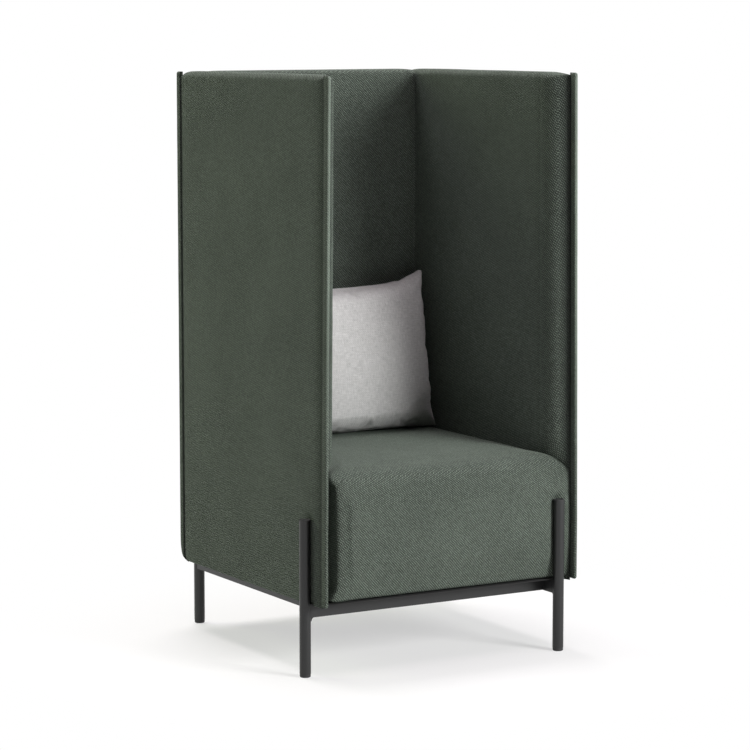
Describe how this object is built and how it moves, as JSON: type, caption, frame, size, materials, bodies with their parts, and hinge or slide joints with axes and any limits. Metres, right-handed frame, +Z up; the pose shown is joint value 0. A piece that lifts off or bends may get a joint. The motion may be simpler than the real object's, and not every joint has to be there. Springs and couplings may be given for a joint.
{
  "type": "privacy booth sofa",
  "caption": "Single-seat high-back privacy booth with tall padded side and back panels, upholstered seat block, loose cushion and a tubular steel base with outboard legs.",
  "frame": {"origin": "on the floor under the middle of the footprint", "axes": "+Z up, -Y towards the open front, +X to the sitter's left (viewer's right)"},
  "size_m": [0.705, 0.705, 1.3],
  "materials": {
    "powder_coat": "satin powder coat",
    "black_plastic": "matt",
    "zinc_steel": "zinc plated",
    "plywood": "bare birch plywood",
    "foam": "open-cell foam",
    "webbing": "woven elastic strap",
    "lining_cloth": "thin non-woven cloth",
    "booth_cloth": "coarse two-tone grey-green upholstery weave",
    "cushion_cloth": "light grey weave"
  },
  "bodies": {
    "booth": {"back_panel_board": "plywood", "back_panel_cover": "booth_cloth", "back_panel_inner_foam": "foam", "back_panel_outer_foam": "foam", "corner_screws": "zinc_steel", "dust_cover": "lining_cloth", "frame_bolts": "zinc_steel", "frame_tee_nuts": "zinc_steel", "front_rail": "powder_coat", "left_panel_batten": "plywood", "left_panel_board": "plywood", "left_panel_cover": "booth_cloth", "left_panel_flanges": "booth_cloth", "left_panel_inner_foam": "foam", "left_panel_outer_foam": "foam", "left_rail": "powder_coat", "leg_caps": "black_plastic", "leg_front_left": "powder_coat", "leg_front_right": "powder_coat", "leg_gussets": "powder_coat", "leg_inserts": "zinc_steel", "leg_rear_left": "powder_coat", "leg_rear_right": "powder_coat", "mount_tabs": "powder_coat", "panel_bolts": "zinc_steel", "panel_nuts": "zinc_steel", "panel_spacers": "plywood", "rear_rail": "powder_coat", "right_panel_batten": "plywood", "right_panel_board": "plywood", "right_panel_cover": "booth_cloth", "right_panel_flanges": "booth_cloth", "right_panel_inner_foam": "foam", "right_panel_outer_foam": "foam", "right_rail": "powder_coat", "seat_corner_blocks": "plywood", "seat_cover": "booth_cloth", "seat_foam": "foam", "seat_front_board": "plywood", "seat_front_foam": "foam", "seat_left_board": "plywood", "seat_rear_board": "plywood", "seat_right_board": "plywood", "seat_straps_crosswise": "webbing", "seat_straps_lengthwise": "webbing"},
    "cushion": {"cushion_back_cover": "cushion_cloth", "cushion_fill": "foam", "cushion_front_cover": "cushion_cloth"},
    "pad_front_left": {"foot_pad_front_left": "black_plastic"},
    "stud_front_left": {"foot_stud_front_left": "zinc_steel"},
    "pad_front_right": {"foot_pad_front_right": "black_plastic"},
    "stud_front_right": {"foot_stud_front_right": "zinc_steel"},
    "pad_rear_right": {"foot_pad_rear_right": "black_plastic"},
    "stud_rear_right": {"foot_stud_rear_right": "zinc_steel"},
    "pad_rear_left": {"foot_pad_rear_left": "black_plastic"},
    "stud_rear_left": {"foot_stud_rear_left": "zinc_steel"}
  },
  "joints": [
    {"name": "cushion_lift", "type": "slide", "parent": "booth", "child": "cushion", "axis": [0, 0, 1], "range_m": [0, 0.9]},
    {"name": "level_front_left", "type": "slide", "parent": "booth", "child": "pad_front_left", "axis": [0, 0, -1], "range_m": [0, 0.01]},
    {"name": "turn_front_left", "type": "hinge", "parent": "pad_front_left", "child": "stud_front_left", "pos_m": [-0.34, -0.281, 0.02], "axis": [0, 0, -1], "range_deg": [0, 2880]},
    {"name": "level_front_right", "type": "slide", "parent": "booth", "child": "pad_front_right", "axis": [0, 0, -1], "range_m": [0, 0.01]},
    {"name": "turn_front_right", "type": "hinge", "parent": "pad_front_right", "child": "stud_front_right", "pos_m": [0.281, -0.34, 0.02], "axis": [0, 0, -1], "range_deg": [0, 2880]},
    {"name": "level_rear_right", "type": "slide", "parent": "booth", "child": "pad_rear_right", "axis": [0, 0, -1], "range_m": [0, 0.01]},
    {"name": "turn_rear_right", "type": "hinge", "parent": "pad_rear_right", "child": "stud_rear_right", "pos_m": [0.34, 0.281, 0.02], "axis": [0, 0, -1], "range_deg": [0, 2880]},
    {"name": "level_rear_left", "type": "slide", "parent": "booth", "child": "pad_rear_left", "axis": [0, 0, -1], "range_m": [0, 0.01]},
    {"name": "turn_rear_left", "type": "hinge", "parent": "pad_rear_left", "child": "stud_rear_left", "pos_m": [-0.281, 0.34, 0.02], "axis": [0, 0, -1], "range_deg": [0, 2880]}
  ],
  "couplings": [
    {"joint": "turn_front_left", "follows": "level_front_left", "rad_per_m": 5026.5},
    {"joint": "turn_front_right", "follows": "level_front_right", "rad_per_m": 5026.5},
    {"joint": "turn_rear_right", "follows": "level_rear_right", "rad_per_m": 5026.5},
    {"joint": "turn_rear_left", "follows": "level_rear_left", "rad_per_m": 5026.5}
  ]
}
